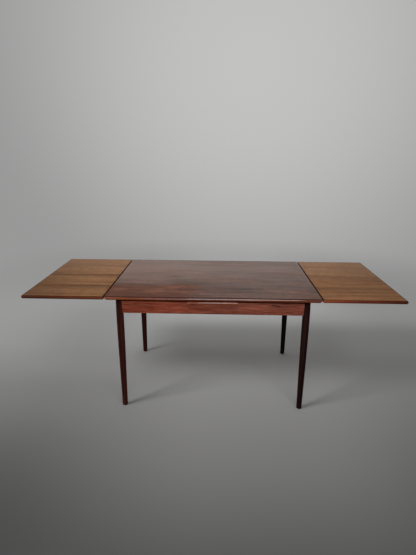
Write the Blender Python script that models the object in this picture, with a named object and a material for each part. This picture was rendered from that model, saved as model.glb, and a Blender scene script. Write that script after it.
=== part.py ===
"""Draw-leaf dining table: a loose veneered top over two end leaves that slide on tapered runners.

Units are metres and +Z is up. +X runs along the table and its front faces -Y. The origin is on the floor
under the middle of the table. Both leaves are modelled drawn out, level with the top. Each leaf slides in
along the slope of its runners, which takes it down under the lifted top, beside the fixed centre board.
"""

import math

import bmesh
import bpy
from mathutils import Matrix, Vector

# Top, leaves and centre board
TABLE_HEIGHT = 0.730
TOP_LENGTH = 1.220
TOP_WIDTH = 0.840
TOP_THICKNESS = 0.020
LEAF_THICKNESS = 0.019
LEAF_GAP = 0.008
BOARD_LENGTH = 0.284
BOARD_GAP = 0.002
LIPPING_WIDTH = 0.016
NOSE_DEPTH = 0.010
CORNER_RADIUS = 0.012
TOP_END_FACE = 0.0075
FELT_THICKNESS = 0.0012
FELT_WIDTH = 0.020
FELT_SETBACK = 0.070
FELT_EDGE = 0.012
PEG_SPACING = 0.180
PEG_RADIUS = 0.012
PEG_LENGTH = 0.048
PEG_POINT = 0.004
SPIGOT_RADIUS = 0.007
SPIGOT_LENGTH = 0.010

# Frame
LEG_INSET_END = 0.072
LEG_INSET_SIDE = 0.058
APRON_HEIGHT = 0.073
APRON_THICKNESS = 0.019
APRON_FACE = 0.012
ARRIS = 0.0015
HOUSING_DEPTH = 0.005
CROSS_RAIL_THICKNESS = 0.019
CROSS_RAIL_WEB = 0.016
BLOCK_START = 0.024
BLOCK_REACH = 0.064
BLOCK_HEIGHT = 0.056
BOLT_RADIUS = 0.003
BOLT_BITE = 0.013
BOLT_TAIL = 0.006
NUT_RADIUS = 0.0058
NUT_HEIGHT = 0.005

# Turned legs
LEG_FOOT_RADIUS = 0.0158
LEG_BELLY_RADIUS = 0.0213
LEG_TOP_RADIUS = 0.0197
LEG_BELLY_HEIGHT = 0.580
LEG_FOOT_ROUND = 0.003
GLIDE_RADIUS = 0.010
GLIDE_THICKNESS = 0.003

# Tapered runners
RUNNER_WIDTH = 0.022
RUNNER_DEPTH = 0.040
RUNNER_INSET = 0.127
RUNNER_PASS = 0.008
RUNNER_HOLD = 0.082
RUNNER_BEARING = 0.010
RUNNER_SEAT_SETBACK = 0.012
RUNNER_TIP = 0.014
STOP_LENGTH = 0.020
STOP_WIDTH = 0.015
STOP_HEIGHT = 0.018

# Clearances: FIT between pieces that touch, the others between pieces that slide
FIT = 0.0003
LEAF_RUN = 0.00055
RUNNER_SIDE_RUN = 0.0005
HOLD_RUN = 0.001
PEG_RUN = 0.001

# Facets
NOSE_STEPS = 8
CORNER_STEPS = 3
LEG_STEPS = 24
LEG_RINGS = 11
ROUND_STEPS = 16
NUT_SIDES = 6
SMOOTH_ANGLE = math.radians(35)
MERGE_DISTANCE = 1e-6

# Heights
top_bottom = TABLE_HEIGHT - TOP_THICKNESS
store_height = LEAF_THICKNESS + 2 * LEAF_RUN
frame_top = top_bottom - store_height
apron_bottom = frame_top - APRON_HEIGHT
board_bottom = frame_top + FIT
felt_bottom = top_bottom - FIT - FELT_THICKNESS
board_thickness = felt_bottom - FIT - board_bottom
leaf_bottom = TABLE_HEIGHT - LEAF_THICKNESS

# Places along and across the table
top_end = TOP_LENGTH / 2
top_side = TOP_WIDTH / 2
board_end = BOARD_LENGTH / 2
leaf_start = top_end + LEAF_GAP
leaf_length = top_end - board_end - BOARD_GAP
leaf_travel = leaf_start - board_end - BOARD_GAP
leaf_drop = TOP_THICKNESS + LEAF_RUN
slope = leaf_drop / leaf_travel
leg_x = top_end - LEG_INSET_END
leg_y = top_side - LEG_INSET_SIDE
apron_back = APRON_THICKNESS - APRON_FACE
rail_inner = leg_x - apron_back
rail_outer = leg_x + APRON_FACE
rail_seat = LEG_TOP_RADIUS - HOUSING_DEPTH
leg_bottom = GLIDE_THICKNESS + FIT
outer_runner_y = leg_y - RUNNER_INSET
inner_runner_y = outer_runner_y - RUNNER_WIDTH - RUNNER_PASS
felt_side = top_side - FELT_SETBACK


def clear_scene():
    for obj in list(bpy.data.objects):
        bpy.data.objects.remove(obj, do_unlink=True)


def material(name, colour, roughness, metallic=0.0):
    """A plain Principled material with the piece's colour and finish."""
    made = bpy.data.materials.new(name)
    made.use_nodes = True
    shader = made.node_tree.nodes["Principled BSDF"]
    shader.inputs["Base Color"].default_value = (*colour, 1.0)
    shader.inputs["Roughness"].default_value = roughness
    shader.inputs["Metallic"].default_value = metallic
    return made


def body(name, place):
    """An empty on the axis along which its pieces move."""
    empty = bpy.data.objects.new(name, None)
    empty.location = place
    bpy.context.scene.collection.objects.link(empty)
    return empty


def add(name, bm, finish, parent, smooth=False):
    """One named piece, from a mesh in world places, carried by its body's empty."""
    bmesh.ops.recalc_face_normals(bm, faces=bm.faces)
    bmesh.ops.translate(bm, verts=bm.verts, vec=-parent.location)
    mesh = bpy.data.meshes.new(name)
    bm.to_mesh(mesh)
    bm.free()
    if smooth:
        mesh.shade_smooth()
        mesh.set_sharp_from_angle(angle=SMOOTH_ANGLE)
    mesh.materials.append(finish)
    piece = bpy.data.objects.new(name, mesh)
    bpy.context.scene.collection.objects.link(piece)
    piece.parent = parent
    return piece


def cut(piece, name, bm):
    """Takes a shape out of a piece with a hidden cutter."""
    bmesh.ops.recalc_face_normals(bm, faces=bm.faces)
    mesh = bpy.data.meshes.new(name)
    bm.to_mesh(mesh)
    bm.free()
    cutter = bpy.data.objects.new(name, mesh)
    cutter.hide_render = True
    cutter.display_type = "WIRE"
    bpy.context.scene.collection.objects.link(cutter)
    step = piece.modifiers.new(name, "BOOLEAN")
    step.operation = "DIFFERENCE"
    step.solver = "EXACT"
    step.object = cutter


def ease_edges(piece, width):
    """Softens the arrises of a sawn piece."""
    step = piece.modifiers.new("eased_edges", "BEVEL")
    step.width = width
    step.segments = 1
    step.limit_method = "ANGLE"


def prism(outline, axis, low, high):
    """An outline extruded along one axis: it is drawn in (y, z) for X, (x, z) for Y and (x, y) for Z."""
    bm = bmesh.new()
    axis_index = "XYZ".index(axis)
    ends = []
    for level in (low, high):
        ring = []
        for first, second in outline:
            place = [first, second]
            place.insert(axis_index, level)
            ring.append(bm.verts.new(place))
        ends.append(ring)
        bm.faces.new(ring)
    count = len(outline)
    for i in range(count):
        j = (i + 1) % count
        bm.faces.new((ends[0][i], ends[0][j], ends[1][j], ends[1][i]))
    return bm


def block(low, high):
    outline = [(low[0], low[1]), (high[0], low[1]), (high[0], high[1]), (low[0], high[1])]
    return prism(outline, "Z", low[2], high[2])


def turned(profile, steps):
    """A profile of (radius, height) turned round the Z axis, starting and ending on the axis."""
    bm = bmesh.new()
    verts = [bm.verts.new((radius, 0.0, height)) for radius, height in profile]
    edges = [bm.edges.new(pair) for pair in zip(verts, verts[1:])]
    bmesh.ops.spin(
        bm,
        geom=verts + edges,
        cent=(0.0, 0.0, 0.0),
        axis=(0.0, 0.0, 1.0),
        angle=2 * math.pi,
        steps=steps,
        use_merge=True,
    )
    bmesh.ops.remove_doubles(bm, verts=bm.verts, dist=MERGE_DISTANCE)
    return bm


def cylinder(radius, low, high):
    return turned([(0.0, low), (radius, low), (radius, high), (0.0, high)], ROUND_STEPS)


def moved(bm, matrix):
    bmesh.ops.transform(bm, matrix=matrix, verts=bm.verts)
    return bm


def edge_section(thickness, knee=None):
    """Section of a solid lipping as (depth in from the outside, height), round its nose from the top.

    A knee is a height at which the lipping's end changes its slope, so the section gets two points there.
    """
    half = thickness / 2
    turns = [math.pi * step / NOSE_STEPS for step in range(NOSE_STEPS + 1)]
    if knee is not None:
        turns = sorted([*turns, math.acos(knee / half - 1)])
    section = [(LIPPING_WIDTH, thickness)]
    section += [(NOSE_DEPTH * (1 - math.sin(turn)), half * (1 + math.cos(turn))) for turn in turns]
    section.append((LIPPING_WIDTH, 0.0))
    if knee is not None:
        section.append((LIPPING_WIDTH, knee))
    return section


def mitred_rings(section, half_length):
    """Rings of (x, y, z) towards a mitre, which follows the rounded corner of a leaf."""
    mitre_fit = FIT / math.sqrt(2)
    rings = []
    for step in range(CORNER_STEPS + 1):
        turn = math.pi / 4 * step / CORNER_STEPS
        ring = []
        for depth, height in section:
            radius = max(CORNER_RADIUS - depth, 0.0)
            centre = max(CORNER_RADIUS, depth)
            fit = mitre_fit if step == CORNER_STEPS or radius == 0.0 else 0.0
            x = half_length - centre + radius * math.sin(turn) - fit
            ring.append((x, centre - radius * math.cos(turn), height))
        rings.append(ring)
    return rings


def square_ring(section, half_length, knee):
    """A square end, undercut at 45 degrees below the knee."""
    knee = 0.0 if knee is None else knee
    return [(half_length - max(knee - height, 0.0), depth, height) for depth, height in section]


def lipping(length, thickness, ends, knee=None):
    """A lipping along X with its nose to -Y. Its two ends are each "mitre" or "square"."""
    section = edge_section(thickness, knee)
    bm = bmesh.new()
    rings = []
    for sign, end in zip((-1, 1), ends):
        if end == "square":
            made = [square_ring(section, length / 2, knee)]
        else:
            made = mitred_rings(section, length / 2)
        for ring in made if sign > 0 else reversed(made):
            rings.append([bm.verts.new((sign * x, y, z)) for x, y, z in ring])
    count = len(section)
    for cap in (rings[0], rings[-1]):
        if knee is None:
            bm.faces.new(cap)
        else:
            split = next(i for i, (_, height) in enumerate(section) if math.isclose(height, knee))
            bm.faces.new(cap[: split + 1] + cap[-1:])
            bm.faces.new(cap[split:])
    for near, far in zip(rings, rings[1:]):
        for i in range(count):
            j = (i + 1) % count
            bm.faces.new((near[i], near[j], far[j], far[i]))
    bmesh.ops.remove_doubles(bm, verts=bm.verts, dist=MERGE_DISTANCE)
    return bm


def end_lipping(thickness, knee):
    """A lipping along Y with its face to +X, which butts between the front and back ones."""
    half_width = top_side - LIPPING_WIDTH - FIT
    outline = [(-LIPPING_WIDTH, 0.0), (-LIPPING_WIDTH, thickness), (0.0, thickness), (0.0, knee)]
    if knee:
        outline.append((-knee, 0.0))
    return prism(outline, "Y", -half_width, half_width)


def edged_panel(name, centre_x, length, thickness, bottom, parent, face):
    """The veneered panel of a board, inside the lippings that go round it."""
    inset = LIPPING_WIDTH + FIT
    half_length = length / 2
    low = (centre_x - half_length + inset, -top_side + inset, bottom)
    high = (centre_x + half_length - inset, top_side - inset, bottom + thickness)
    return add(f"{name}_panel", block(low, high), face, parent)


def add_edge(name, shape, angle, place, solid, parent):
    """Turns a lipping about Z, sets it in its place and adds it."""
    matrix = Matrix.Translation(place) @ Matrix.Rotation(math.radians(angle), 4, "Z")
    add(name, moved(shape, matrix), solid, parent, smooth=True)


def make_top(parent, finishes):
    """The loose top and the two pegs under it that drop through the centre board."""
    solid = finishes["solid"]
    panel = edged_panel("top", 0.0, TOP_LENGTH, TOP_THICKNESS, top_bottom, parent, finishes["veneer"])
    knee = TOP_THICKNESS - TOP_END_FACE
    for end, angle, y in (("front", 0, -top_side), ("back", 180, top_side)):
        shape = lipping(TOP_LENGTH, TOP_THICKNESS, ("square", "square"), knee)
        add_edge(f"top_{end}_lipping", shape, angle, (0.0, y, top_bottom), solid, parent)
    for side, angle, x in (("left", 180, -top_end), ("right", 0, top_end)):
        shape = end_lipping(TOP_THICKNESS, knee)
        add_edge(f"top_{side}_lipping", shape, angle, (x, 0.0, top_bottom), solid, parent)
    for side, sign in (("left", -1), ("right", 1)):
        place = Matrix.Translation((sign * PEG_SPACING / 2, 0.0, top_bottom))
        shoulder = -FIT
        end = shoulder - PEG_LENGTH
        profile = [
            (0.0, end),
            (PEG_RADIUS - PEG_POINT, end),
            (PEG_RADIUS, end + PEG_POINT),
            (PEG_RADIUS, shoulder),
            (SPIGOT_RADIUS, shoulder),
            (SPIGOT_RADIUS, SPIGOT_LENGTH),
            (0.0, SPIGOT_LENGTH),
        ]
        peg = moved(turned(profile, ROUND_STEPS), place)
        add(f"{side}_guide_peg", peg, finishes["beech"], parent, smooth=True)
        hole = cylinder(SPIGOT_RADIUS + FIT, -FIT, SPIGOT_LENGTH + FIT)
        cut(panel, f"{side}_spigot_hole", moved(hole, place))


def runner_top(x):
    """Upper edge of a runner's inner part: it slides under the edge of the centre board."""
    return frame_top - HOLD_RUN + slope * (x - board_end)


def runner_bottom(x):
    """Lower edge of a runner, along the line that it slides on in the end rail's notch."""
    return runner_top(x) - RUNNER_DEPTH


def runner_spread(sign):
    """The right leaf's runners are the outer pair, and the left leaf's pass just inside them."""
    return outer_runner_y if sign > 0 else inner_runner_y


def make_runner(name, sign, y, parent, finishes):
    inner = board_end - RUNNER_HOLD
    seat = leaf_start + RUNNER_SEAT_SETBACK
    outer = rail_outer + RUNNER_BEARING + leaf_travel
    seat_height = leaf_bottom - FIT
    outline = [
        (inner, runner_bottom(inner)),
        (outer - RUNNER_TIP, runner_bottom(outer - RUNNER_TIP)),
        (outer, runner_bottom(outer) + RUNNER_TIP),
        (outer, seat_height),
        (seat, seat_height),
        (seat, runner_top(seat)),
        (inner, runner_top(inner)),
    ]
    outline = [(sign * x, z) for x, z in outline]
    shape = prism(outline, "Y", y - RUNNER_WIDTH / 2, y + RUNNER_WIDTH / 2)
    add(name, shape, finishes["beech"], parent)


def make_stop(name, sign, y, parent, finishes):
    """A block on a runner's side that meets the end rail when the leaf is fully out."""
    outer = rail_inner - FIT
    bottom = runner_bottom(outer) + FIT
    low = (sign * outer, y - STOP_WIDTH / 2, bottom)
    high = (sign * (outer - STOP_LENGTH), y + STOP_WIDTH / 2, bottom + STOP_HEIGHT)
    add(name, block(low, high), finishes["beech"], parent)


def make_leaf(side, sign, parent, finishes):
    """A drawn-out leaf with its two tapered runners and their stops."""
    centre = sign * (leaf_start + leaf_length / 2)
    solid = finishes["solid"]
    name = f"{side}_leaf"
    edged_panel(name, centre, leaf_length, LEAF_THICKNESS, leaf_bottom, parent, finishes["leaf"])
    ends = ("square", "mitre") if sign > 0 else ("mitre", "square")
    for end, angle, y in (("front", 0, -top_side), ("back", 180, top_side)):
        shape = lipping(leaf_length, LEAF_THICKNESS, ends if angle == 0 else ends[::-1])
        add_edge(f"{name}_{end}_lipping", shape, angle, (centre, y, leaf_bottom), solid, parent)
    outer, inner = ("right", "left") if sign > 0 else ("left", "right")
    outer_place = (centre + sign * leaf_length / 2, 0.0, leaf_bottom)
    inner_place = (centre - sign * leaf_length / 2, 0.0, leaf_bottom)
    shape = lipping(TOP_WIDTH, LEAF_THICKNESS, ("mitre", "mitre"))
    add_edge(f"{name}_{outer}_lipping", shape, sign * 90, outer_place, solid, parent)
    shape = end_lipping(LEAF_THICKNESS, 0.0)
    add_edge(f"{name}_{inner}_lipping", shape, 180 if sign > 0 else 0, inner_place, solid, parent)
    spread = runner_spread(sign)
    stop_y = spread + sign * (RUNNER_WIDTH / 2 + FIT + STOP_WIDTH / 2)
    for end, across in (("front", -1), ("back", 1)):
        make_runner(f"{side}_leaf_{end}_runner", sign, across * spread, parent, finishes)
        make_stop(f"{side}_leaf_{end}_stop", sign, across * stop_y, parent, finishes)


def make_centre_board(parent, finishes):
    """The fixed board across the middle, its two visible noses, and the felt that the top lies on."""
    board_top = board_bottom + board_thickness
    panel_side = top_side - LIPPING_WIDTH - FIT
    shape = block((-board_end, -panel_side, board_bottom), (board_end, panel_side, board_top))
    board = add("centre_board", shape, finishes["veneer"], parent)
    for side, sign in (("left", -1), ("right", 1)):
        place = Matrix.Translation((sign * PEG_SPACING / 2, 0.0, 0.0))
        hole = cylinder(PEG_RADIUS + PEG_RUN, board_bottom - FIT, board_top + FIT)
        cut(board, f"{side}_peg_hole", moved(hole, place))
        middle = sign * (board_end - FELT_EDGE - FELT_WIDTH / 2)
        low = (middle - FELT_WIDTH / 2, -felt_side, felt_bottom)
        high = (middle + FELT_WIDTH / 2, felt_side, felt_bottom + FELT_THICKNESS)
        add(f"{side}_felt_strip", block(low, high), finishes["felt"], parent)
    for end, across in (("front", -1), ("back", 1)):
        section = edge_section(board_thickness)
        outline = [(across * (top_side - depth), board_bottom + height) for depth, height in section]
        shape = prism(outline, "X", -board_end, board_end)
        add(f"centre_board_{end}_nose", shape, finishes["solid"], parent, smooth=True)


def notched_outline(half_span, bottom, notches):
    """A rail's (y, z) outline with square notches from its upper edge: (middle, half width, notch bottom)."""
    outline = [(-half_span, bottom), (half_span, bottom), (half_span, frame_top)]
    for middle, half_width, notch_bottom in sorted(notches, reverse=True):
        outline += [
            (middle + half_width, frame_top),
            (middle + half_width, notch_bottom),
            (middle - half_width, notch_bottom),
            (middle - half_width, frame_top),
        ]
    outline.append((-half_span, frame_top))
    return outline


def make_rails(parent, finishes):
    """Two long aprons, two end rails notched for the runners, and the cross rail under the centre board."""
    half_length = leg_x - rail_seat
    for end, across in (("front", -1), ("back", 1)):
        low = (-half_length, across * (leg_y + APRON_FACE), apron_bottom)
        high = (half_length, across * (leg_y - apron_back), frame_top)
        apron = add(f"{end}_apron", block(low, high), finishes["apron"], parent)
        ease_edges(apron, ARRIS)
    notch_half = RUNNER_WIDTH / 2 + RUNNER_SIDE_RUN
    for side, sign in (("left", -1), ("right", 1)):
        spread = runner_spread(sign)
        floor = runner_bottom(rail_inner) - FIT
        notches = [(across * spread, notch_half, floor) for across in (-1, 1)]
        outline = notched_outline(leg_y - rail_seat, apron_bottom, notches)
        shape = prism(outline, "X", sign * rail_inner, sign * rail_outer)
        add(f"{side}_end_rail", shape, finishes["apron"], parent)
    half = CROSS_RAIL_THICKNESS / 2
    floor = runner_bottom(-half) - HOLD_RUN
    notches = [(across * runner_spread(sign), notch_half, floor) for across in (-1, 1) for sign in (-1, 1)]
    outline = notched_outline(leg_y - apron_back - FIT, floor - CROSS_RAIL_WEB, notches)
    add("cross_rail", prism(outline, "X", -half, half), finishes["beech"], parent)


def leg_radius(height):
    """A taper that swells from the foot to the belly and draws in a little above it."""
    if height < LEG_BELLY_HEIGHT:
        share = (height - leg_bottom) / (LEG_BELLY_HEIGHT - leg_bottom)
        swell = share * (1 + share * (1 - share))
        return LEG_FOOT_RADIUS + (LEG_BELLY_RADIUS - LEG_FOOT_RADIUS) * swell
    share = (height - LEG_BELLY_HEIGHT) / (frame_top - LEG_BELLY_HEIGHT)
    return LEG_BELLY_RADIUS + (LEG_TOP_RADIUS - LEG_BELLY_RADIUS) * share * share


def make_leg(name, sign, across, parent, finishes):
    """A turned leg with two housings for the rails and a hole for its bolt."""
    foot = leg_bottom + LEG_FOOT_ROUND
    profile = [(0.0, leg_bottom), (leg_radius(foot) - LEG_FOOT_ROUND, leg_bottom)]
    for ring in range(LEG_RINGS + 1):
        height = foot + (frame_top - foot) * ring / LEG_RINGS
        profile.append((leg_radius(height), height))
    profile.append((0.0, frame_top))
    place = Matrix.Translation((sign * leg_x, across * leg_y, 0.0))
    leg = add(name, moved(turned(profile, LEG_STEPS), place), finishes["leg"], parent, smooth=True)
    seat = rail_seat - FIT
    past = 2 * LEG_BELLY_RADIUS
    face, back = APRON_FACE + FIT, -apron_back - FIT
    low, high = apron_bottom - FIT, frame_top + FIT
    apron_house = block((-sign * seat, across * face, low), (-sign * past, across * back, high))
    rail_house = block((sign * face, -across * seat, low), (sign * back, -across * past, high))
    cut(leg, f"{name}_apron_housing", moved(apron_house, place))
    cut(leg, f"{name}_rail_housing", moved(rail_house, place))
    return leg


def bolt_frame(sign, across):
    """Where a leg's bolt lies: its Z axis runs from the leg's axis inwards across the corner."""
    inward = Vector((-sign, -across, 0.0)).normalized()
    turn = Vector((0.0, 0.0, 1.0)).rotation_difference(inward).to_matrix().to_4x4()
    middle = (apron_bottom + frame_top) / 2
    return Matrix.Translation((sign * leg_x, across * leg_y, middle)) @ turn


def nut_shape(low):
    """A hexagon nut round the bolt's axis, with its bore."""
    bm = bmesh.new()
    rings = []
    count = 2 * NUT_SIDES
    high = low + NUT_HEIGHT
    for radius, height in ((0.0, low), (NUT_RADIUS, low), (NUT_RADIUS, high), (0.0, high)):
        ring = []
        for step in range(count):
            turn = 2 * math.pi * step / count
            flat = math.cos(math.pi / NUT_SIDES) if step % 2 else 1.0
            reach = radius * flat if radius else BOLT_RADIUS + FIT
            ring.append(bm.verts.new((reach * math.cos(turn), reach * math.sin(turn), height)))
        rings.append(ring)
    for near, far in zip(rings, rings[1:] + rings[:1]):
        for i in range(count):
            j = (i + 1) % count
            bm.faces.new((near[i], near[j], far[j], far[i]))
    return bm


def make_corner(end, side, sign, across, parent, finishes):
    """One corner of the frame: leg, glide, corner block, and the bolt and nut that pull the leg home."""
    name = f"{end}_{side}"
    leg = make_leg(f"{name}_leg", sign, across, parent, finishes)
    at_leg = Matrix.Translation((sign * leg_x, across * leg_y, 0.0))
    dome = [(0.0, 0.0), (GLIDE_RADIUS - GLIDE_THICKNESS / 2, 0.0), (GLIDE_RADIUS, GLIDE_THICKNESS / 2)]
    dome += [(GLIDE_RADIUS, GLIDE_THICKNESS), (0.0, GLIDE_THICKNESS)]
    add(f"{name}_glide", moved(turned(dome, ROUND_STEPS), at_leg), finishes["glide"], parent, smooth=True)

    face = apron_back + FIT
    near, far = face + BLOCK_START, face + BLOCK_REACH
    plan = [(near, face), (far, face), (face, far), (face, near)]
    plan = [(sign * (leg_x - u), across * (leg_y - v)) for u, v in plan]
    middle = (apron_bottom + frame_top) / 2
    shape = prism(plan, "Z", middle - BLOCK_HEIGHT / 2, middle + BLOCK_HEIGHT / 2)
    corner_block = add(f"{name}_corner_block", shape, finishes["beech"], parent)

    bolt_place = bolt_frame(sign, across)
    block_out = (near + face) / math.sqrt(2)
    block_in = (far + face) / math.sqrt(2)
    start = LEG_TOP_RADIUS - BOLT_BITE
    nut_seat = block_in + FIT
    end_of_bolt = nut_seat + NUT_HEIGHT + BOLT_TAIL
    stud = moved(cylinder(BOLT_RADIUS, start, end_of_bolt), bolt_place)
    add(f"{name}_bolt", stud, finishes["steel"], parent, smooth=True)
    add(f"{name}_nut", moved(nut_shape(nut_seat), bolt_place), finishes["steel"], parent)
    bore = BOLT_RADIUS + FIT
    cut(leg, f"{name}_leg_hole", moved(cylinder(bore, start - FIT, block_out), bolt_place))
    cut(corner_block, f"{name}_block_hole", moved(cylinder(bore, LEG_TOP_RADIUS, end_of_bolt), bolt_place))


def main():
    clear_scene()
    finishes = {
        "veneer": material("rosewood_veneer", (0.17, 0.085, 0.050), 0.38),
        "leaf": material("leaf_veneer", (0.19, 0.10, 0.058), 0.38),
        "solid": material("rosewood_edge", (0.13, 0.042, 0.018), 0.36),
        "apron": material("rosewood_apron", (0.12, 0.038, 0.020), 0.42),
        "leg": material("dark_rosewood", (0.022, 0.008, 0.006), 0.40),
        "beech": material("beech", (0.48, 0.31, 0.17), 0.60),
        "felt": material("felt", (0.05, 0.09, 0.06), 0.95),
        "steel": material("zinc_steel", (0.55, 0.55, 0.53), 0.35, 1.0),
        "glide": material("glide_nylon", (0.06, 0.05, 0.045), 0.50),
    }
    frame = body("frame", (0.0, 0.0, 0.0))
    top = body("top", (0.0, 0.0, top_bottom))
    make_rails(frame, finishes)
    for end, across in (("front", -1), ("back", 1)):
        for side, sign in (("left", -1), ("right", 1)):
            make_corner(end, side, sign, across, frame, finishes)
    make_centre_board(frame, finishes)
    make_top(top, finishes)
    for side, sign in (("left", -1), ("right", 1)):
        leaf = body(f"{side}_leaf", (sign * leaf_start, 0.0, leaf_bottom))
        make_leaf(side, sign, leaf, finishes)


main()
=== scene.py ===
"""Looks of a draw-leaf dining table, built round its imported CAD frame.

Lengths are metres in the CAD frame: +X along the table, -Y its front, +Z up. Every piece has its place in
its mesh.
"""

import math

import bmesh
import bpy
from mathutils import Matrix, Vector


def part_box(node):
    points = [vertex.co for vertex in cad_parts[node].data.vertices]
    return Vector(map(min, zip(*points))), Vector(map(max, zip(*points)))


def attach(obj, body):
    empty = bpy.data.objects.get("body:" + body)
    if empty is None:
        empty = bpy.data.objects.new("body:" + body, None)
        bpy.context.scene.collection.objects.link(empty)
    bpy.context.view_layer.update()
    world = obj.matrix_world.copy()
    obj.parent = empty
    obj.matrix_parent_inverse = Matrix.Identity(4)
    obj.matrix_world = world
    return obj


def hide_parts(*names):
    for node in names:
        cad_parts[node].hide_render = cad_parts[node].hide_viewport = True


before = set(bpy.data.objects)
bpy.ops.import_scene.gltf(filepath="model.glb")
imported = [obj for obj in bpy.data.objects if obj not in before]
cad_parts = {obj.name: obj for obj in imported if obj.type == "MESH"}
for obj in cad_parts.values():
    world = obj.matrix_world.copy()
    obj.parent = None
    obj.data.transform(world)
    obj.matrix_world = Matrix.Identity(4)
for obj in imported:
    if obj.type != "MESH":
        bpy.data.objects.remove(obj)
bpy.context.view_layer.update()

SIDES = (("left", -1), ("right", 1))
ENDS = (("front", -1), ("back", 1))
UP = Vector((0.0, 0.0, 1.0))
MERGE = 1e-6
FLAT_ANGLE = math.radians(1.0)
SHARP_ANGLE = math.radians(30.0)

# Camera of the photograph, for an image of 416 x 555 pixels
IMAGE_HEIGHT = 555
CAMERA_PLACE = Vector((0.0331, -2.6008, 1.5186))
CAMERA_YAW = math.radians(-1.549)
CAMERA_PITCH = math.radians(16.986)
CAMERA_ROLL = math.radians(0.353)
FOCAL_PIXELS = 416.3
SENSOR = 36.0

# Lippings
SHOWN = ("shown", "shown")
MITRED = ("mitre", "mitre")
BUTT = ("butt", "butt")
LIPPING_WIDTH = 0.016
NOSE_DEPTH = 0.010
CORNER_RADIUS = 0.012
TOP_END_FACE = 0.0075
LIPPING_ARRIS = 0.0012
NOSE_STEPS = 20
CORNER_STEPS = 8
ARRIS_STEPS = 4
MITRE_GAP = 0.00006
PANEL_GAP = 0.00008
PANEL_INSET = LIPPING_WIDTH + PANEL_GAP

# Rounding of the other arrises, as (width, steps)
PANEL_ROUND = (0.0002, 2)
BOARD_ROUND = (0.0006, 2)
FELT_ROUND = (0.0004, 2)
APRON_ROUND = (0.0018, 4)
CROSS_RAIL_ROUND = (0.0010, 3)
PLAIN_ROUND = (0.0012, 3)
NUT_ROUND = (0.0004, 2)

# Legs
LEG_PROFILE = {
    "Foot Radius": 0.0158,
    "Belly Radius": 0.0213,
    "Top Radius": 0.0197,
    "Belly Height": 0.580,
    "Foot Round": 0.003,
}
LEG_SIDES = 64
LEG_RINGS = 90
HOUSING_FIT = 0.0003

# Pegs and glides; a peg's point is (width, height) of its rounding
TURNED_STEPS = 40
QUARTER_STEPS = 8
PEG_POINT = (0.005, 0.004)
PEG_SEAT_GAP = 0.0004

# How far a leaf goes in and down on its sloping runners
LEAF_TRAVEL = 0.474
LEAF_DROP = 0.02055
RUNNER_SLOPE = LEAF_DROP / LEAF_TRAVEL

# Screws and bolts; a corner block's screws are (height, share of half its face) from the face's middle
BLOCK_SCREWS = ((-0.017, 0.45), (0.017, -0.45))
SCREW_SIZES = {
    "Head Radius": 0.0040,
    "Shank Radius": 0.0019,
    "Head Height": 0.0024,
    "Slot Width": 0.0011,
    "Slot Depth": 0.0011,
}
SCREW_SIDES = 28
SCREW_SEEDS = {"left_leaf": 3, "right_leaf": 5, "frame": 7}
SCREW_PROUD = 0.0002
RUNNER_SCREW_SHARES = (0.10, 0.50, 0.88)
COUNTERBORE_RADIUS = 0.0055
COUNTERBORE_DEPTH = 0.007
BORE_SIDES = 24
BORE_LEAD = 0.010
THREAD_PITCH = 0.0010
THREAD_DEPTH = 0.0006
THREAD_SIDES = 20
THREAD_ROWS = 5

# Marks in the wood: how many to a metre along and across the grain, the detail and roughness of their noise,
# and for flat marks the one level that they are cut at
DRIFT = (1.1, 5.0)
BANDS = (1.0, 34.0, 5.0, 0.65)
INK = (2.6, 165.0, 3.0, 0.6)
INK_START = 7.0
FIBRES = (9.0, 640.0, 2.0, 0.6)
PORES = (55.0, 1500.0, 1.0)
DIPS = (28.0, 46.0, 2.0, 0.6, 0.2)
RAGGED = (3.2, 9.0, 4.0, 0.6, 0.3)
PATCHES = (5.0, 16.0, 4.0, 0.65, 0.6)
CLOUDS = (2.1, 7.0, 4.0, 0.55, 0.9)
WARMTH = (1.2, 7.0, 3.0, 0.5, 0.5)
LONG_BANDS = (2.4, 20.0, 3.0)
RUBS = (9.0, 30.0, 4.0)
SWIRLS = (4.0, 12.0, 3.0)
STREAKS = (11.0, 150.0, 3.0, 0.7)
SCUFFS = (16.0, 60.0, 4.0)
BEECH_FLECKS = (120.0, 620.0, 1.0)
HANDLING = (5.0, 9.0, 4.0)

# Veneer strips: their width, where the first joint lies and how far each slides and shifts on its flitch
STRIP_WIDTH = 0.231
STRIP_SHIFT = 0.0035
TOP_JOINT = 0.296
TOP_SLIDE = 0.31
LEAF_JOINTS = (0.247, 0.264)
LEAF_SLIDE = 0.23

# Knots and a stain: place along and across the grain, half length and half width, and a knot's strength
TOP_STAIN = ((-0.25, -0.006), (0.050, 0.014))
APRON_KNOTS = (
    ((-0.43, 0.660), (0.060, 0.016), 0.35),
    ((0.205, 0.683), (0.045, 0.007), 0.30),
    ((0.350, 0.675), (0.024, 0.007), 1.0),
    ((0.375, 0.671), (0.014, 0.005), 1.0),
)
KNOT_PUSH = 0.8
SWIRL_REACH = 0.014
EYE_LIMIT = 0.85

# Finish of the lippings: way of the grain, polish, darkening at the table's left and right end, which on
# the edges that face the gaps between the top and the leaves is painted shade, and how far their flat upper
# side is free of veneer
EDGES = {
    "top_edge": ("XYZ", 0.90, (0.30, 0.50), 0.8),
    "top_end_edge": ("YXZ", 0.90, (0.40, 0.55)),
    "strip_edge": ("XYZ", 0.80, (0.15, 0.25)),
    "leaf_edge": ("XYZ", 0.05, (0.58, 0.0)),
    "leaf_end_edge": ("YXZ", 0.12, (0.65, 0.50)),
    "leaf_inner_edge": ("YXZ", 0.10, (0.85, 0.85)),
}
OUTER_STAIN = 0.55

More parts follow.
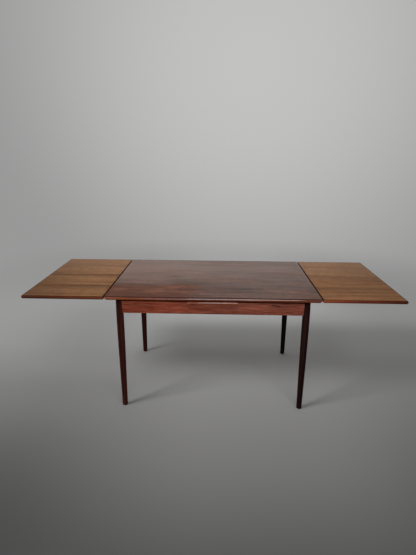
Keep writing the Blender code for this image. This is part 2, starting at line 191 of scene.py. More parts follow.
# Tones of each finish from its darkest grain to its palest, as (share of the figure, red, green, blue)
TOP_TONES = (
    (0.34, 0.026, 0.010, 0.007),
    (0.45, 0.076, 0.030, 0.018),
    (0.55, 0.126, 0.053, 0.031),
    (0.68, 0.198, 0.095, 0.057),
)
LEAF_TONES = (
    (0.32, 0.129, 0.055, 0.020),
    (0.45, 0.200, 0.092, 0.036),
    (0.55, 0.251, 0.120, 0.049),
    (0.70, 0.322, 0.166, 0.073),
)
EDGE_TONES = (
    (0.32, 0.050, 0.008, 0.003),
    (0.45, 0.105, 0.018, 0.005),
    (0.56, 0.152, 0.031, 0.008),
    (0.72, 0.235, 0.066, 0.019),
)
APRON_TONES = (
    (0.32, 0.104, 0.018, 0.008),
    (0.45, 0.250, 0.047, 0.020),
    (0.55, 0.336, 0.077, 0.034),
    (0.70, 0.444, 0.140, 0.070),
)
# Painted shade on the aprons and end rails, from bottom to top as (share of the height, red, green, blue):
# darker towards the bottom
APRON_WEAR = ((0.0, 0.49, 0.43, 0.39), (1.0, 1.0, 1.0, 1.0))
LEG_TONES = (
    (0.30, 0.0100, 0.0021, 0.0015),
    (0.50, 0.0300, 0.0060, 0.0039),
    (0.72, 0.0620, 0.0145, 0.0088),
)
BEECH_TONES = (
    (0.25, 0.40, 0.235, 0.120),
    (0.50, 0.50, 0.315, 0.170),
    (0.80, 0.58, 0.390, 0.225),
)
FELT_TONES = ((0.3, 0.018, 0.040, 0.024), (0.7, 0.075, 0.125, 0.080))
ZINC_TONES = ((0.3, 0.40, 0.39, 0.36), (0.7, 0.66, 0.66, 0.64))
NYLON_TONE = (0.030, 0.024, 0.020)

# What lies over those tones, as (strength, red, green, blue)
TOP_TINTS = {
    "joint": (0.42, 0.026, 0.010, 0.007),
    "ink": (0.50, 0.020, 0.007, 0.005),
    "bare": (0.45, 0.128, 0.043, 0.023),
    "dark": (0.38, 0.048, 0.019, 0.011),
    "pale": (0.45, 0.205, 0.088, 0.050),
    "aged": (1.0, 0.225, 0.132, 0.098),
    "hazy": (0.22, 0.160, 0.105, 0.092),
    "stain": (0.80, 0.070, 0.038, 0.012),
    "pores": (0.45, 0.018, 0.007, 0.005),
}
LEAF_TINTS = {
    "joint": (0.62, 0.060, 0.022, 0.008),
    "faded": (0.54, 0.312, 0.176, 0.096),
    "shaded": (1.0, 0.085, 0.036, 0.014),
    "outer": (1.0, 0.062, 0.026, 0.009),
    "ink": (0.24, 0.070, 0.027, 0.010),
    "warm": (0.25, 0.185, 0.068, 0.025),
    "pores": (0.40, 0.048, 0.019, 0.008),
}
EDGE_TINTS = {
    "ink": (0.55, 0.018, 0.004, 0.003),
    "rubbed": (0.22, 0.290, 0.105, 0.046),
    "pores": (0.35, 0.020, 0.006, 0.004),
    "stained": (1.0, 0.016, 0.005, 0.003),
    "grimed": (0.6, 0.020, 0.007, 0.004),
}
APRON_TINTS = {
    "browned": (0.34, 0.150, 0.082, 0.070),
    "reddened": (0.28, 0.080, 0.009, 0.003),
    "pale": (0.30, 0.440, 0.170, 0.100),
    "dark": (0.60, 0.050, 0.013, 0.010),
    "ink": (0.75, 0.020, 0.005, 0.004),
    "eyes": (1.0, 0.018, 0.006, 0.005),
    "pores": (0.40, 0.020, 0.006, 0.005),
}
LEG_TINTS = {
    "ink": (0.5, 0.004, 0.0018, 0.0016),
    "stained": (1.0, 0.0035, 0.0016, 0.0014),
    "rubbed": (1.0, 0.060, 0.022, 0.014),
}
BEECH_TINTS = {
    "flecks": (0.55, 0.270, 0.135, 0.060),
    "ink": (0.18, 0.330, 0.180, 0.085),
    "handled": (0.35, 0.300, 0.185, 0.100),
}
BACKING_TINTS = {
    "top": (0.65, 0.060, 0.028, 0.016),
    "leaf": (0.65, 0.105, 0.052, 0.026),
}
NYLON_TINTS = {"worn": (0.6, 0.120, 0.105, 0.092)}
FLECK_SHADE = (0.35, 0.33, 0.32)
FLECK_STRENGTH = {"top": 0.54, "leaf": 0.25, "fibres": 0.40}

# What is the same all over a finish, and how deep its relief is
LACQUERED = {"IOR": 1.5, "Specular IOR Level": 0.08, "Coat IOR": 1.5, "Coat Roughness": 0.28}
RUBBED = {"IOR": 1.5, "Specular IOR Level": 0.03, "Coat IOR": 1.7, "Coat Roughness": 0.12}
OILED = {"IOR": 1.5, "Specular IOR Level": 0.06}
DARK_OIL = {"IOR": 1.5, "Specular IOR Level": 0.04}
RAW = {"IOR": 1.45, "Specular IOR Level": 0.35}
FELTED = {"Specular IOR Level": 0.1, "Sheen Weight": 0.35, "Sheen Roughness": 0.6}
PLATED = {"Metallic": 1.0}
GRAIN_DEPTH = 0.00012
RUBBED_DEPTH = 0.00004
RAW_DEPTH = 0.00015
FELT_DEPTH = 0.0006
ZINC_DEPTH = 0.00005
NYLON_DEPTH = 0.00004

# Lamps: place, aim, size, power in watts, and for one its spread in degrees
TABLE_MIDDLE = (0.0, 0.0, 0.5)
LAMPS = {
    "key": ((-5.652, -3.636, 5.976), TABLE_MIDDLE, (2.4, 2.4), 450.0),
    "overhead": ((-0.15, 0.95, 2.4), (-0.15, 0.65, 0.5), (1.8, 1.4), 7.5),
    "front": ((0.50, -2.5, 2.9), (0.0, -0.2, 0.7), (2.1, 0.8), 13.5, 90.0),
    "fill": ((-0.6, -5.2, 0.36), TABLE_MIDDLE, (3.0, 0.6), 58.0),
    "card": ((0.0, -1.35, 0.02), (0.0, -1.35, 1.0), (1.8, 0.8), 7.0),
}

# Backdrop and floor
BACKDROP_WAY = Vector((0.065, 0.983, 0.174))
BACKDROP_SPAN = (0.812, 1.143)
BACKDROP_TONE = (0.684, 0.684, 0.677)
ROOM_TONE = (0.316, 0.316, 0.314)
# Floor tones from the front to the back, as (share, red, green, blue): painted light and shade, dark at the
# front and paler at the back
FLOOR_TONES = (
    (0.0, 0.093, 0.093, 0.091),
    (0.4, 0.288, 0.288, 0.284),
    (0.6, 0.430, 0.430, 0.425),
    (0.9, 0.520, 0.520, 0.515),
)
FLOOR_SHADE = (0.02, 0.02, 0.02)
FLOOR_FINISH = {"Roughness": 0.85, "Specular IOR Level": 0.2}
FLOOR_RADIUS = 9.0
FLOOR_SEGMENTS = 96
FLOOR_FADE = (1.3, 5.0)
FLOOR_FRONT = -1.35
FLOOR_REACH = 3.0
FLOOR_MIDDLE = 0.28
FLOOR_SIDES = (0.25, 1.4)
FLOOR_SIDE_FRONT = (-0.3, -1.3)
FLOOR_SIDE_DIM = (0.3, 0.6)


class Wire:
    """A value in a node tree. Python's operators on it add Math nodes."""

    def __init__(self, net, socket):
        self.net = net
        self.socket = socket

    def out(self, name):
        """Another output of the same node, by name or number."""
        return Wire(self.net, self.socket.node.outputs[name])

    def __add__(self, other):
        return self.net.math("ADD", self, other)

    __radd__ = __add__

    def __sub__(self, other):
        return self.net.math("SUBTRACT", self, other)

    def __rsub__(self, other):
        return self.net.math("SUBTRACT", other, self)

    def __mul__(self, other):
        return self.net.math("MULTIPLY", self, other)

    __rmul__ = __mul__

    def __truediv__(self, other):
        return self.net.math("DIVIDE", self, other)

    def __pow__(self, other):
        return self.net.math("POWER", self, other)


class Net:
    """A node tree that is being wired, for a material (its owner), the world or a Geometry Nodes piece."""

    def __init__(self, tree, owner=None):
        self.tree = tree
        self.owner = owner
        tree.nodes.clear()

    def node(self, kind, inputs=None, **settings):
        """Any node: its settings first, then its sockets by name or number. Gives its first output."""
        made = self.tree.nodes.new(kind)
        for name, value in settings.items():
            if name == "stops":
                self.set_stops(made.color_ramp.elements, value)
            else:
                setattr(made, name, value)
        for key, value in (inputs or {}).items():
            socket = made.inputs[key]
            if isinstance(value, Wire):
                self.tree.links.new(value.socket, socket)
            elif socket.type == "RGBA":
                socket.default_value = (*value, 1.0)
            else:
                socket.default_value = value
        return Wire(self, made.outputs[0]) if made.outputs else None

    def set_stops(self, elements, stops):
        while len(elements) < len(stops):
            elements.new(1.0)
        for element, (place, *colour) in zip(elements, stops):
            element.position = place
            element.color = (*colour, 1.0)

    def math(self, operation, first, second=0.0):
        return self.node("ShaderNodeMath", {0: first, 1: second}, operation=operation)

    def place(self, x, y, z):
        return self.node("ShaderNodeCombineXYZ", {0: x, 1: y, 2: z})

    def noise(self, place, scale=1.0, detail=2.0, rough=0.5, twist=0.0):
        sockets = {"Scale": scale, "Detail": detail, "Roughness": rough, "Distortion": twist}
        return self.node("ShaderNodeTexNoise", {"Vector": place, **sockets})

    def marks(self, axes, run, spread, detail=2.0, rough=0.5, level=None, start=0.0):
        """Noise that is drawn out along the grain, from 0 to 1."""
        along, across, deep = axes
        height = deep * spread if level is None else level
        return self.noise(self.place(along * run + start, across * spread, height), 1.0, detail, rough)

    def rise(self, value, start, end, first=0.0, last=1.0):
        """The first number where a change starts, the last where it ends and a smooth way between them."""
        sockets = {"Value": value, "From Min": start, "From Max": end, "To Min": first, "To Max": last}
        return self.node("ShaderNodeMapRange", sockets, interpolation_type="SMOOTHSTEP")

    def between(self, share, first, last):
        """A number that goes from the first value to the last as the share goes from 0 to 1."""
        return first + (last - first) * share

    def blend(self, share, first, second, mode="MIX"):
        """Two colours mixed by a share."""
        sockets = {0: share, 6: first, 7: second}
        return self.node("ShaderNodeMix", sockets, data_type="RGBA", blend_type=mode).out(2)

    def tones(self, value, stops):
        """A value's colour between stops, from a colour ramp."""
        return self.node("ShaderNodeValToRGB", {"Fac": value}, stops=stops)

    def tinted(self, colour, tints, **masks):
        """A colour with tints laid over it one by one, each where the mask of its name is."""
        for name, mask in masks.items():
            strength, *tint = tints[name]
            colour = self.blend(mask * strength, colour, tint)
        return colour


def finish(name):
    """The empty tree of a new material."""
    made = bpy.data.materials.new(name)
    made.use_nodes = True
    return Net(made.node_tree, made)


def surface(net, fixed, colour, roughness, relief, depth, coat=None):
    """Ends a material's tree: fixed sockets as numbers, and the rest wired. Gives the material."""
    bump = net.node("ShaderNodeBump", {"Strength": 1.0, "Distance": depth, "Height": relief})
    inputs = {**fixed, "Base Color": colour, "Roughness": roughness, "Normal": bump}
    if coat is not None:
        inputs["Coat Weight"] = coat
    net.node("ShaderNodeOutputMaterial", {"Surface": net.node("ShaderNodeBsdfPrincipled", inputs)})
    return net.owner


def own_place(net):
    """The spot on the piece, in its own coordinates."""
    return net.node("ShaderNodeTexCoord").out("Object")


def grain_axes(net, order):
    """The piece's own coordinates as (along the grain, across it, into it)."""
    parts = net.node("ShaderNodeSeparateXYZ", {"Vector": own_place(net)})
    return tuple(parts.out(axis) for axis in order)


def facing(net):
    """How far a face looks up, from -1 to 1."""
    normal = net.node("ShaderNodeTexCoord").out("Normal")
    return net.node("ShaderNodeSeparateXYZ", {"Vector": normal}).out("Z")


def scaled(mark, breaks, fine):
    run, spread, *noise = mark
    return (run * breaks, spread * fine, *noise)


def wood_marks(net, axes, wander=0.010, breaks=1.0, fine=1.0):
    """Bands, dark lines, fibres and pores of sawn or sliced wood, each from 0 to 1. The bands run about a
    metre over the number of breaks, and are about 30 mm wide over how fine they are."""
    along, across, deep = axes
    drift = (net.marks(axes, *DRIFT) - 0.5) * wander
    lines = (along, across + drift, deep + drift)
    bands = net.marks(lines, *scaled(BANDS, breaks, fine))
    ink = net.marks(lines, *scaled(INK, breaks, fine), start=INK_START)
    fibres = net.marks(lines, *FIBRES)
    pores = net.rise(net.marks(lines, *PORES), 0.62, 0.74)
    return bands, net.rise(ink, 0.56, 0.72), fibres, pores


def wood_relief(fibres, pores):
    return fibres * 0.5 - pores


def slip_match(net, axes, joint, slide):
    """Veneer strips laid side by side from one flitch: axes that start again at each joint, and the share
    of the way across a strip."""
    along, across, deep = axes
    count = (joint - across) / STRIP_WIDTH
    strip = net.math("FLOOR", count)
    share = count - strip
    return (along + strip * slide, share * STRIP_WIDTH + strip * STRIP_SHIFT, deep), share


def mottled(net, colour, axes, fibres, strength):
    """A colour with short darker flecks, where the grain dips under the surface, and fine dark fibres."""
    dips = net.rise(net.marks(axes, *DIPS), 0.38, 0.62)
    threads = net.rise(fibres, 0.46, 0.70)
    depth = dips * strength + threads * FLECK_STRENGTH["fibres"]
    return net.blend(depth, colour, net.blend(1.0, colour, FLECK_SHADE, "MULTIPLY"))


def knot(net, axes, place, size):
    """How near a spot is to a knot, from 0 to 1, and how far its grain is pushed aside there."""
    x = (axes[0] - place[0]) / size[0]
    z = (axes[1] - place[1]) / size[1]
    near = net.math("POWER", math.e, 0.0 - (x * x + z * z))
    return near, near * z * size[1]


def top_figure(net):
    """The top's veneer: purple-brown slip-matched strips under a lacquer film, which has gone from a patch
    by the front left corner. Under the film its colour has painted sheen, paler and greyer towards the back
    left, and in clouds that are partly a bloom in the lacquer. Gives its colour, roughness, relief and coat."""
    axes = grain_axes(net, "XYZ")
    along, across, _ = axes
    strips, share = slip_match(net, axes, TOP_JOINT, TOP_SLIDE)
    bands, ink, fibres, pores = wood_marks(net, strips, breaks=3.2)
    ragged = net.marks(axes, *RAGGED) - 0.5
    bare = net.rise(along + ragged * 0.30, 0.02, -0.22)
    bare = bare * net.rise(across + ragged * 0.20, -0.13, -0.24)
    filmed = 1.0 - bare
    patches = net.marks(axes, *PATCHES)
    clouds = net.marks(axes, *CLOUDS)
    joint = net.rise(share + ragged * 0.35, 0.34, 0.0) * net.rise(across, 0.42, -0.16)
    joint = joint * net.rise(across, -0.20, -0.28, 1.0, 0.4)
    # Paler and greyer towards the back left where the film is: painted sheen
    aged = net.rise(across, -0.32, 0.15) * filmed * net.rise(along, 0.15, -0.40, 0.27, 0.44)
    stain, _ = knot(net, axes, *TOP_STAIN)
    colour = net.tones(bands, TOP_TONES)
    colour = net.tinted(colour, TOP_TINTS, joint=joint, ink=ink)
    colour = mottled(net, colour, strips, fibres, FLECK_STRENGTH["top"])
    colour = net.tinted(
        colour,
        TOP_TINTS,
        bare=bare,
        dark=net.rise(patches, 0.50, 0.66) * bare,
        pale=net.rise(patches, 0.50, 0.34) * bare,
        aged=aged,
        # Greyer in clouds: partly a bloom in the lacquer, partly painted sheen
        hazy=net.rise(clouds, 0.30, 0.75) * filmed,
        stain=stain,
        pores=pores,
    )
    roughness = 0.46 + fibres * 0.10 + pores * 0.10
    coat = net.between(clouds, 0.34, 0.90) * net.rise(across, -0.48, 0.25, 0.42, 1.0)
    coat = coat * net.between(bare, 1.0, 0.10) * net.between(stain, 1.0, 0.5)
    return colour, roughness, wood_relief(fibres, pores), coat


def leaf_figure(net):
    """The leaves' veneer: golden brown, kept from the light, in strips that darken sharply at each joint.
    Painted sheen makes it paler towards the back and on the right leaf, and painted shade darker towards the
    front and the table's outer ends. Gives its colour, roughness, relief and coat."""
    axes = grain_axes(net, "XYZ")
    along, across, _ = axes
    rightward = net.rise(along, -0.3, 0.3)
    strips, share = slip_match(net, axes, net.between(rightward, *LEAF_JOINTS), LEAF_SLIDE)
    bands, ink, fibres, pores = wood_marks(net, strips, wander=0.006, breaks=2.0)
    joint = net.rise(share, 0.34, 0.0) ** 1.5 + net.rise(share, 0.90, 1.0) * 0.6
    # Paler towards the back, and a little on the right leaf: painted sheen
    faded = net.rise(across + (bands - 0.5) * 0.4 + rightward * 0.12, -0.10, 0.44)
    # Darker towards the front, most on the left leaf: painted shade
    shaded = (1.0 - rightward) * net.rise(across, 0.05, -0.40, 0.03, 0.23)
    # Darker towards the table's outer ends, most at the front and on the left: painted shade
    outer = net.rise(net.math("ABSOLUTE", along), 0.70, 1.12) * net.rise(along, 0.5, -0.5, 0.36, 0.60)
    outer = outer * net.rise(across, 0.30, -0.40, 0.4, 1.0)
    warm = net.rise(net.marks(axes, *WARMTH), 0.42, 0.7)
    colour = net.tones(bands, LEAF_TONES)
    colour = net.tinted(colour, LEAF_TINTS, joint=joint, faded=faded, shaded=shaded, outer=outer, ink=ink)
    colour = mottled(net, colour, strips, fibres, FLECK_STRENGTH["leaf"])
    colour = net.tinted(colour, LEAF_TINTS, warm=warm, pores=pores)
    roughness = 0.50 + fibres * 0.10 + pores * 0.10
    coat = net.rise(across, -0.05, 0.45, 0.03, 0.15)
    return colour, roughness, wood_relief(fibres, pores), coat


def veneer(board, figure):
    """A veneered board: its figure above, and a plainer backing veneer on the faces that look down."""
    net = finish(f"{board}_veneer")
    colour, roughness, relief, coat = figure(net)
    below = net.rise(facing(net), -0.5, -0.9)
    colour = net.tinted(colour, BACKING_TINTS, **{board: below})
    return surface(net, LACQUERED, colour, roughness, relief, GRAIN_DEPTH, coat * (1.0 - below))


def edge_wood(name, figure, order, polish, stain, rim=0.0):
    """Solid lippings: red-brown with dark streaks, darker towards the table's outer ends with painted shade,
    darker on the upper curve of the nose with a painted dark reflection, and the board's veneer over their
    flat upper side."""
    net = finish(name)
    axes = grain_axes(net, order)
    bands, ink, fibres, pores = wood_marks(net, axes)
    rubbed = net.rise(net.marks(axes, *RUBS), 0.55, 0.75)
    lengthwise = axes[order.index("X")]
    # Darker at the table's left and right end, which is painted shade on the edges in the gaps, and painted
    # shade towards the table's outer ends
    stained = net.rise(lengthwise, -0.6, 0.7, *stain)
    outward = net.rise(net.math("ABSOLUTE", lengthwise), 0.66, 1.06)
    stained = stained + (1.0 - stained) * outward * OUTER_STAIN
    up = facing(net)
    # Darker on the upper side: a painted dark reflection on the nose's upper curve, and with a rim a dark
    # band on the flat upper side too
    grimed = net.rise(up, 0.60, 0.85) * (1.0 + 0.5 * rim)
    colour = net.tones(bands * 0.5 + net.marks(axes, *LONG_BANDS) * 0.5, EDGE_TONES)
    colour = net.tinted(
        colour, EDGE_TINTS, ink=ink, rubbed=rubbed, pores=pores, stained=stained, grimed=grimed
    )
    face_colour, face_roughness, _, face_coat = figure(net)
    flat = net.rise(up, 0.985, 0.998)
    veneered = flat * (1.0 - rim)
    colour = net.blend(veneered, colour, face_colour)
    roughness = (0.34 + rubbed * 0.10 + fibres * 0.10) * (1.0 - flat) + face_roughness * flat
    shine = net.rise(up, -0.20, 0.25) * (1.0 - rim * net.rise(up, 0.58, 0.78))
    coat = polish * shine * (1.0 - flat) + face_coat * veneered
    return surface(net, RUBBED, colour, roughness, wood_relief(fibres, pores), RUBBED_DEPTH, coat)


def rosewood_apron(name, order, knots=()):
    """Apron and end rails: red rosewood with dark figure that swirls round its knots, and painted shade that
    darkens them towards the bottom.
    """
    net = finish(name)
    axes = grain_axes(net, order)
    along, across, deep = axes
    eyes = 0.0
    shifted = across
    for place, size, strength in knots:
        near, push = knot(net, axes, place, size)
        shifted = shifted - push * KNOT_PUSH
        eyes = near ** 2.0 * strength + eyes
    shifted = shifted + (net.marks(axes, *SWIRLS) - 0.5) * SWIRL_REACH
    lines = (along, shifted, deep)
    bands, ink, fibres, pores = wood_marks(net, lines, wander=0.016, breaks=6.0, fine=3.2)
    browned = net.rise(along, -0.42, 0.20)
    reddened = net.rise(along, -0.20, -0.50)
    colour = net.tones(bands, APRON_TONES)
    colour = net.tinted(colour, APRON_TINTS, browned=browned, reddened=reddened)
    # Darker towards the bottom: painted shade
    worn = net.tones(net.rise(across, 0.622, 0.692), APRON_WEAR)
    colour = net.blend(1.0, colour, worn, "MULTIPLY")
    streaks = net.marks(lines, *STREAKS)
    pale = net.rise(streaks, 0.48, 0.30)
    dark = net.rise(streaks, 0.50, 0.68)
    colour = net.tinted(colour, APRON_TINTS, pale=pale, dark=dark, ink=ink)
    if knots:
        colour = net.tinted(colour, APRON_TINTS, eyes=net.math("MINIMUM", eyes, EYE_LIMIT))
    colour = net.tinted(colour, APRON_TINTS, pores=pores)
    roughness = 0.42 + fibres * 0.12 + pores * 0.10
    return surface(net, OILED, colour, roughness, wood_relief(fibres, pores), GRAIN_DEPTH)


def dark_legs():
    """Legs: rosewood with a nearly black stain and a little red in the lighter grain. The right legs
    are darker, and the back right one darker still with painted shade.
    """
    net = finish("dark_legs")
    axes = grain_axes(net, "ZXY")
    height, rightward, backward = axes
    bands, ink, fibres, pores = wood_marks(net, axes, wander=0.008)
    # Right legs darker, the back right one most: painted shade on that one
    stained = net.rise(rightward, -0.40, 0.45) * net.rise(backward, -0.30, 0.30, 0.85, 0.98)
    rubbed = net.rise(net.marks(axes, *SCUFFS), 0.58, 0.72) * net.rise(height, 0.10, 0.01, 0.15, 0.55)
    rubbed = rubbed * net.between(stained, 1.0, 0.5)
    colour = net.tones(bands, LEG_TONES)
    colour = net.tinted(colour, LEG_TINTS, ink=ink, stained=stained, rubbed=rubbed)
    roughness = 0.36 + fibres * 0.14 + rubbed * 0.2
    return surface(net, DARK_OIL, colour, roughness, wood_relief(fibres, pores), GRAIN_DEPTH)


def beech(name, order):
    """Unfinished beech: pale, with short darker flecks and faint growth rings."""
    net = finish(name)
    axes = grain_axes(net, order)
    bands, ink, fibres, pores = wood_marks(net, axes, wander=0.012)
    flecks = net.rise(net.marks(axes, *BEECH_FLECKS), 0.60, 0.70)
    handled = net.rise(net.marks(axes, *HANDLING), 0.52, 0.75)
    colour = net.tones(bands, BEECH_TONES)
    colour = net.tinted(colour, BEECH_TINTS, flecks=flecks, ink=ink, handled=handled)
    return surface(net, RAW, colour, 0.52 + fibres * 0.18, fibres * 0.6 - pores * 0.4, RAW_DEPTH)


def green_felt():
    """Pressed wool felt: matted fibres in a few greens."""
    net = finish("green_felt")
    mat = net.noise(own_place(net), scale=900.0, detail=5.0, rough=0.7, twist=1.5)
    clumps = net.noise(own_place(net), scale=160.0, detail=3.0)
    colour = net.tones(mat * 0.7 + clumps * 0.3, FELT_TONES)
    return surface(net, FELTED, colour, 0.85 + clumps * 0.15, mat, FELT_DEPTH)


def zinc():
    """Zinc plating: dull bright steel with a faint spangle and grey blotches."""
    net = finish("zinc")
    blotches = net.noise(own_place(net), scale=220.0, detail=4.0)
    spangle = net.noise(own_place(net), scale=1400.0, detail=2.0)
    return surface(net, PLATED, net.tones(blotches, ZINC_TONES), 0.28 + blotches * 0.22, spangle, ZINC_DEPTH)


def glide_nylon():
    """Dark brown nylon with a scuffed underside."""
    net = finish("glide_nylon")
    height, rightward, backward = grain_axes(net, "ZXY")
    scuffs = net.noise(net.place(height * 900.0, rightward * 300.0, backward * 1200.0), detail=4.0)
    worn = net.rise(height, 0.0015, 0.0002) * net.rise(scuffs, 0.40, 0.62)
    colour = net.tinted(NYLON_TONE, NYLON_TINTS, worn=worn)
    return surface(net, RAW, colour, 0.42 + scuffs * 0.20, scuffs, NYLON_DEPTH)


def make_woods():
    """Every finish, by the name that the pieces ask for."""
    woods = {
        "top": veneer("top", top_figure),
        "leaf": veneer("leaf", leaf_figure),
        "front_apron": rosewood_apron("front_apron_wood", "XZY", APRON_KNOTS),
        "back_apron": rosewood_apron("back_apron_wood", "XZY"),
        "end_rail": rosewood_apron("end_rail_wood", "YZX"),
        "leg": dark_legs(),
        "beech_along": beech("beech_along", "XZY"),
        "beech_across": beech("beech_across", "YZX"),
        "beech_upright": beech("beech_upright", "ZXY"),
        "felt": green_felt(),
        "zinc": zinc(),
        "glide": glide_nylon(),
    }
    for name, edge in EDGES.items():
        figure = leaf_figure if name.startswith("leaf") else top_figure
        woods[name] = edge_wood(name, figure, *edge)
    return woods


def mesh_from(bm, name):
    mesh = bpy.data.meshes.new(name)
    bm.to_mesh(mesh)
    bm.free()
    return mesh


def add_object(name, data):
    made = bpy.data.objects.new(name, data)
    bpy.context.scene.collection.objects.link(made)
    return made


def add_piece(node, mesh, wood, body):
    """A finished piece in a CAD node's place, which rides on the node's body."""
    mesh.materials.clear()
    mesh.materials.append(wood)
    made = add_object(f"finished_{node}", mesh)
    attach(made, body)
    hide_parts(node)


def add_board(node, low, high, rounding, wood, body, slot):
    """A plain board between two corners, with rounded arrises."""
    add_piece(node, mesh_from(ease(block(low, high), rounding), node), wood, body)


def add_eased(node, rounding, wood, body):
    """A piece of its CAD node's own shape, with rounded arrises."""
    add_piece(node, mesh_from(ease(cad_shape(node), rounding), node), wood, body)


def block(low, high, bm=None):
    """A block between two corners, in a shape that is given or in a new one."""
    bm = bmesh.new() if bm is None else bm
    place = Matrix.LocRotScale((low + high) / 2, None, high - low)
    bmesh.ops.create_cube(bm, size=1.0, matrix=place)
    return bm


def cad_shape(node):
    """A CAD node's shape, with its loose triangles merged into whole faces."""
    bm = bmesh.new()
    bm.from_mesh(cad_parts[node].data)
    bmesh.ops.remove_doubles(bm, verts=bm.verts, dist=MERGE)
    bmesh.ops.dissolve_limit(bm, angle_limit=FLAT_ANGLE, verts=bm.verts, edges=bm.edges)
    return bm


def ease(bm, rounding):
    """Rounds the sharp arrises. The flat faces stay flat and the rounds are smooth."""
    width, steps = rounding
    for face in bm.faces:
        face.smooth = False
    sharp = [edge for edge in bm.edges if edge.is_manifold and edge.calc_face_angle() > SHARP_ANGLE]
    rounds = bmesh.ops.bevel(
        bm, geom=sharp, offset=width, segments=steps, profile=0.5, affect="EDGES", clamp_overlap=True
    )
    for face in rounds["faces"]:
        face.smooth = True
    return bm


def smooth(mesh):
    mesh.shade_smooth()
    mesh.set_sharp_from_angle(angle=SHARP_ANGLE)
    return mesh


def moved(bm, matrix):
    bmesh.ops.transform(bm, matrix=matrix, verts=bm.verts)
    return bm


def skin(bm, rings):
    """Joins each ring of vertices to the next and closes both ends."""
    bm.faces.new(rings[0])
    bm.faces.new(rings[-1])
    for near, far in zip(rings, rings[1:]):
        for i in range(len(near)):
            j = (i + 1) % len(near)
            bm.faces.new((near[i], near[j], far[j], far[i]))


def turned(profile):
    """A profile of (radius, height) turned round the Z axis."""
    bm = bmesh.new()
    verts = [bm.verts.new((radius, 0.0, height)) for radius, height in profile]
    edges = [bm.edges.new(pair) for pair in zip(verts, verts[1:])]
    turn = {"cent": (0, 0, 0), "axis": UP, "angle": 2 * math.pi, "steps": TURNED_STEPS}
    bmesh.ops.spin(bm, geom=verts + edges, use_merge=True, **turn)
    bmesh.ops.remove_doubles(bm, verts=bm.verts, dist=MERGE)
    bmesh.ops.recalc_face_normals(bm, faces=bm.faces)
    return bm


def add_turned(node, height, point, wood, body):
    """A peg or glide in its CAD node's place, with a lower end rounded by a point's (width, height)."""
    low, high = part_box(node)
    radius = (high.x - low.x) / 2
    width, rise = point
    profile = [(0.0, 0.0)]
    for step in range(QUARTER_STEPS + 1):
        turn = math.pi / 2 * step / QUARTER_STEPS
        profile.append((radius - width + width * math.sin(turn), rise * (1 - math.cos(turn))))
    profile += [(radius, height), (0.0, height)]
    middle = (low + high) / 2
    shape = moved(turned(profile), Matrix.Translation((middle.x, middle.y, low.z)))
    add_piece(node, smooth(mesh_from(shape, node)), wood, body)


def plain_mesh(obj):
    """What an object's modifiers make, as a mesh of its own."""
    graph = bpy.context.evaluated_depsgraph_get()
    return bpy.data.meshes.new_from_object(obj.evaluated_get(graph), depsgraph=graph)


def counterbored(bm, places, name):
    """A runner's shape with a counterbore up into it at each screw's place."""
    cutter = bmesh.new()
    depth = COUNTERBORE_DEPTH + BORE_LEAD
    for place in places:
        bmesh.ops.create_cone(
            cutter,
            cap_ends=True,
            segments=BORE_SIDES,
            radius1=COUNTERBORE_RADIUS,
            radius2=COUNTERBORE_RADIUS,
            depth=depth,
            matrix=Matrix.Translation(place + UP * (depth / 2 - BORE_LEAD)),
        )
    tool = add_object(f"{name}_bits", mesh_from(cutter, f"{name}_bits"))
    work = add_object(f"{name}_work", mesh_from(bm, f"{name}_work"))
    step = work.modifiers.new("bore", "BOOLEAN")
    step.operation = "DIFFERENCE"
    step.solver = "EXACT"
    step.object = tool
    mesh = plain_mesh(work)
    for obj in (tool, work):
        bpy.data.objects.remove(obj)
    return mesh


def grown(tree, base, values, name):
    """Runs a Geometry Nodes tree on a mesh, with its named inputs, and gives the plain mesh."""
    obj = add_object(name, base)
    step = obj.modifiers.new(name, "NODES")
    step.node_group = tree
    for item in tree.interface.items_tree:
        if item.in_out == "INPUT" and item.name in values:
            step[item.identifier] = values[item.name]
    mesh = plain_mesh(obj)
    bpy.data.objects.remove(obj)
    return mesh


def piece_tree(name, lengths, others):
    """An empty Geometry Nodes tree with named inputs: lengths by name, and others by name and kind. Gives
    the tree, its net and its inputs' values."""
    tree = bpy.data.node_groups.new(name, "GeometryNodeTree")
    sockets = {"Geometry": "Geometry", **{length: "Float" for length in lengths}, **others}
    for socket, kind in sockets.items():
        tree.interface.new_socket(socket, in_out="INPUT", socket_type=f"NodeSocket{kind}")
    tree.interface.new_socket("Geometry", in_out="OUTPUT", socket_type="NodeSocketGeometry")
    net = Net(tree)
    given = net.node("NodeGroupInput")
    return tree, net, {socket: given.out(socket) for socket in sockets}


def carved(net, shape, cutter):
    """A Geometry Nodes shape with another cut out of it."""
    meshes = {"Mesh 1": shape, "Mesh 2": cutter}
    return net.node("GeometryNodeMeshBoolean", meshes, operation="DIFFERENCE", solver="EXACT")


def close_tree(net, shape, material):
    """The end of a Geometry Nodes tree: the shape as plain geometry, in its material."""
    plain = net.node("GeometryNodeRealizeInstances", {0: shape})
    dressed = net.node("GeometryNodeSetMaterial", {"Geometry": plain, "Material": material})
    net.node("NodeGroupOutput", {"Geometry": dressed})


def point_height(net):
    return net.node("ShaderNodeSeparateXYZ", {0: net.node("GeometryNodeInputPosition")}).out("Z")


